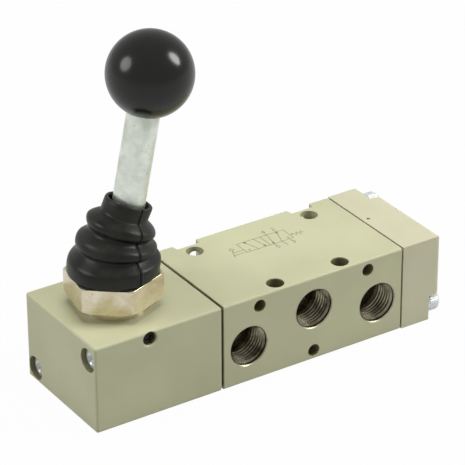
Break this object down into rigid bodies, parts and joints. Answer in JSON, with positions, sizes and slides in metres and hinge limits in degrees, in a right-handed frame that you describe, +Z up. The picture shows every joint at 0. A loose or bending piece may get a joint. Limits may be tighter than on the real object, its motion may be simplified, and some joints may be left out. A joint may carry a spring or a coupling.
{
  "type": "hand lever air valve",
  "caption": "Hand lever air valve: five-port spool valve body with a lever block, rubber bellows, ball knob lever and spring end cap.",
  "frame": {"origin": "centre of the valve body's flat underside", "axes": "+X along the spool from the lever block to the spring end cap, -Y out of the supply and exhaust ports, +Z up"},
  "size_m": [0.0965, 0.031, 0.0867],
  "materials": {
    "body_paint": "satin",
    "cap_paint": "satin",
    "nickel_plate": "polished",
    "zinc_steel": "satin",
    "zinc_screw": "satin",
    "stainless": "satin",
    "spring_steel": "satin",
    "spool_aluminium": "satin",
    "brass": "satin",
    "acetal": "matte",
    "knob_plastic": "gloss",
    "boot_rubber": "matte",
    "seal_rubber": "matte"
  },
  "bodies": {
    "valve": {"valve_body": "body_paint", "spacer_1": "acetal", "spacer_2": "acetal", "spacer_3": "acetal", "spacer_4": "acetal", "spacer_5": "acetal", "spool_seal_1": "seal_rubber", "spool_seal_2": "seal_rubber", "spool_seal_3": "seal_rubber", "spool_seal_4": "seal_rubber", "spool_seal_5": "seal_rubber", "spool_seal_6": "seal_rubber", "end_cap": "cap_paint", "end_cap_gasket": "seal_rubber", "end_cap_washers": "zinc_screw", "end_cap_screws": "zinc_screw", "spring_seat": "acetal", "return_spring": "spring_steel", "lever_housing": "body_paint", "housing_gasket": "seal_rubber", "housing_screws": "zinc_screw", "gland_nut": "nickel_plate", "nut_gasket": "seal_rubber", "nut_grub_screw": "zinc_screw", "ball_seat_ring": "acetal", "boot": "boot_rubber"},
    "lever": {"lever_rod": "zinc_steel", "pivot_pin": "stainless", "knob_insert": "brass", "ball_knob": "knob_plastic"},
    "spool": {"spool": "spool_aluminium", "actuator_plunger": "stainless"}
  },
  "joints": [
    {"name": "lever_swing", "type": "hinge", "parent": "valve", "child": "lever", "pos_m": [-0.0447, 0, 0.025], "axis": [0, -1, 0], "range_deg": [0, 23.4], "stiffness_Nm_per_rad": 0.135, "springref_deg": -17.19, "deforming": ["boot"]},
    {"name": "spool_slide", "type": "slide", "parent": "valve", "child": "spool", "axis": [1, 0, 0], "range_m": [0, 0.0057], "deforming": ["return_spring"]}
  ],
  "couplings": [
    {"joint": "spool_slide", "follows": "lever_swing", "m_per_rad": 0.013903}
  ]
}
